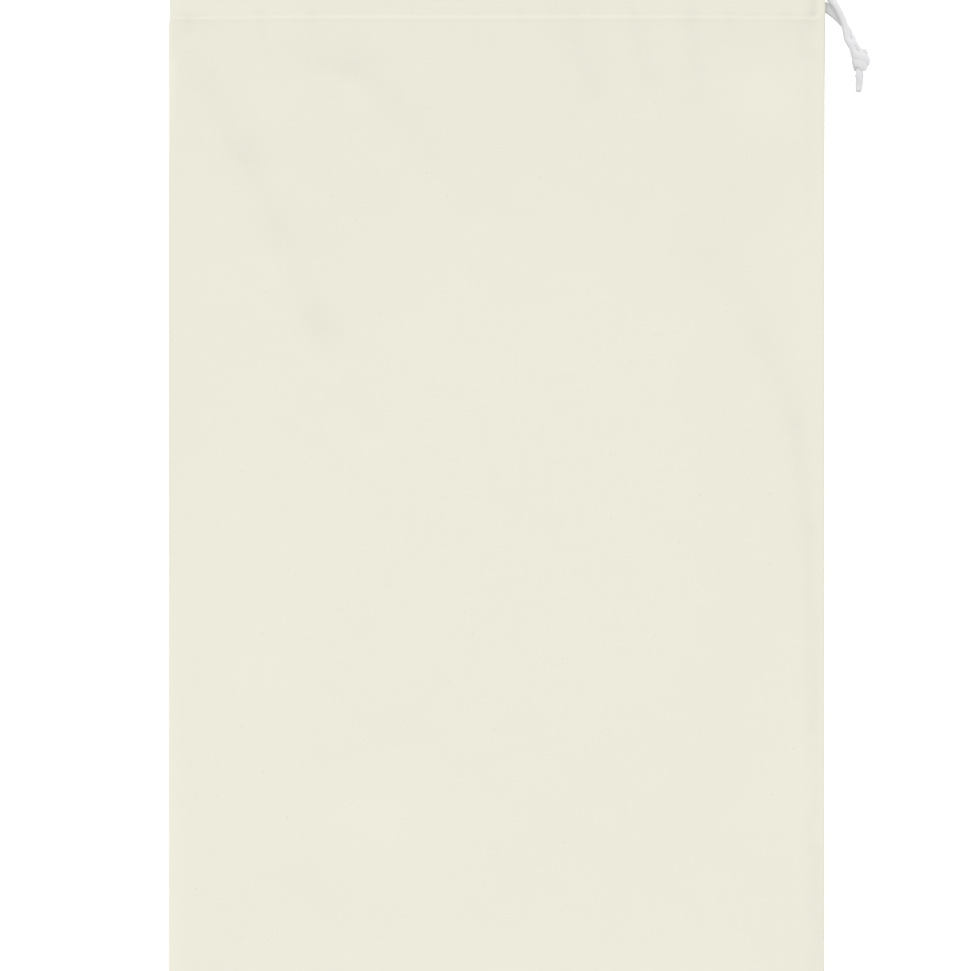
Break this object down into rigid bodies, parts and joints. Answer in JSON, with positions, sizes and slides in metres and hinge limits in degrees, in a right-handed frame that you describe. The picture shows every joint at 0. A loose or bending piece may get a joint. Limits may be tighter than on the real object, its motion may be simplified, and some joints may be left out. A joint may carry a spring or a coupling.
{
  "type": "cotton drawstring gift bag",
  "caption": "Flat cotton gift bag with a drawstring channel round its open mouth and a knotted cord at one side.",
  "frame": {"origin": "middle of the bag's underside, measured without the free cord", "axes": "+Y towards the mouth, +X towards the side where the cord leaves, +Z out of the front panel"},
  "size_m": [0.3209, 0.47, 0.0159],
  "materials": {
    "cloth": "matt plain-weave cotton, off-white",
    "cord": "matt braided cotton cord, white"
  },
  "bodies": {
    "root": {"front_panel": "cloth", "back_panel": "cloth", "drawstring": "cord", "strand_front": "cord", "strand_back": "cord", "knot": "cord", "tail_front": "cord", "tail_back": "cord"}
  },
  "joints": []
}
